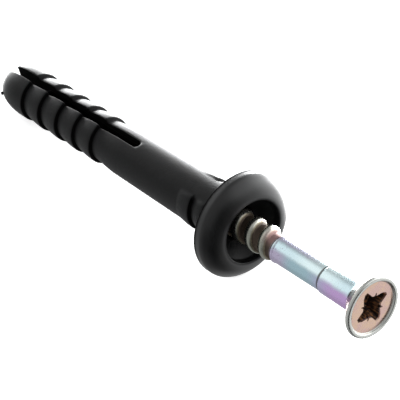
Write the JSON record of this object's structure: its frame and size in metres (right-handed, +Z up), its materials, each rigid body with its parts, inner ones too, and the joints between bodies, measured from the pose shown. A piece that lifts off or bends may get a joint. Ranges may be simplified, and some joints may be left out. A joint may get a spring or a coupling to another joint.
{
  "type": "hammer fixing plug",
  "caption": "Hammer fixing plug: a slotted, barbed nylon sleeve with a domed collar, and a coarse threaded hammer screw with a cross recess standing part-way into it.",
  "frame": {"origin": "centre of the plug's outline on the table it lies on, under the middle of its length", "axes": "+Z up; the plug lies along X with the screw's head towards +X and the slotted tip towards -X; its axis rises 4.59 degrees towards the head, because it lies on the collar's rim and on a leg, and its slot leans 15 degrees from upright"},
  "size_m": [0.0856, 0.0166, 0.0166],
  "materials": {
    "black_nylon": "moulded charcoal nylon with a satin surface",
    "passivated_steel": "zinc plated steel with an iridescent passivation"
  },
  "bodies": {
    "plug": {"sleeve": "black_nylon"},
    "screw": {"hammer_screw": "passivated_steel"}
  },
  "joints": [
    {"name": "screw_drive", "type": "slide", "parent": "plug", "child": "screw", "axis": [-0.9968, 0, -0.08], "range_m": [0, 0.0256]}
  ]
}
